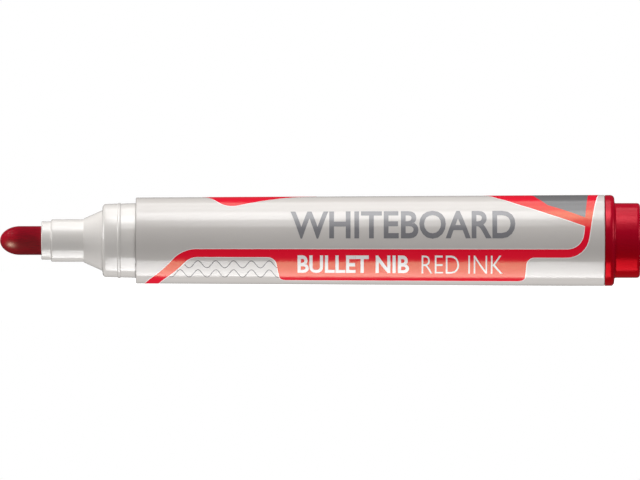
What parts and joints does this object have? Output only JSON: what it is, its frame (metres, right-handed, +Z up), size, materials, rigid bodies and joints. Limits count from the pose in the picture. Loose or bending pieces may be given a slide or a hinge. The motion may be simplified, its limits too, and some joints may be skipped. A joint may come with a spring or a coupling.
{
  "type": "whiteboard marker",
  "caption": "Uncapped dry-erase marker with a bullet nib, stepped nose, tapered round barrel, ink reservoir and push-in end plug.",
  "frame": {"origin": "on the surface that the marker lies on, under the middle of its length", "axes": "+X along the marker's axis from the nib to the end plug, +Z up, away from the surface"},
  "size_m": [0.1266, 0.018, 0.0179],
  "materials": {
    "white_plastic": "gloss",
    "nose_plastic": "satin gloss",
    "inked_felt": "pressed fibre, wet with ink",
    "ink_fibre": "fibre bundle, soaked with ink",
    "clear_film": "thin film",
    "red_plastic": "gloss"
  },
  "bodies": {
    "marker": {"barrel": "white_plastic", "nib_section": "nose_plastic", "nib": "inked_felt", "reservoir_core": "ink_fibre", "reservoir_wrap": "clear_film"},
    "plug": {"end_plug": "red_plastic"}
  },
  "joints": [
    {"name": "plug_pull", "type": "slide", "parent": "marker", "child": "plug", "axis": [1, 0, 0], "range_m": [0, 0.012]}
  ]
}
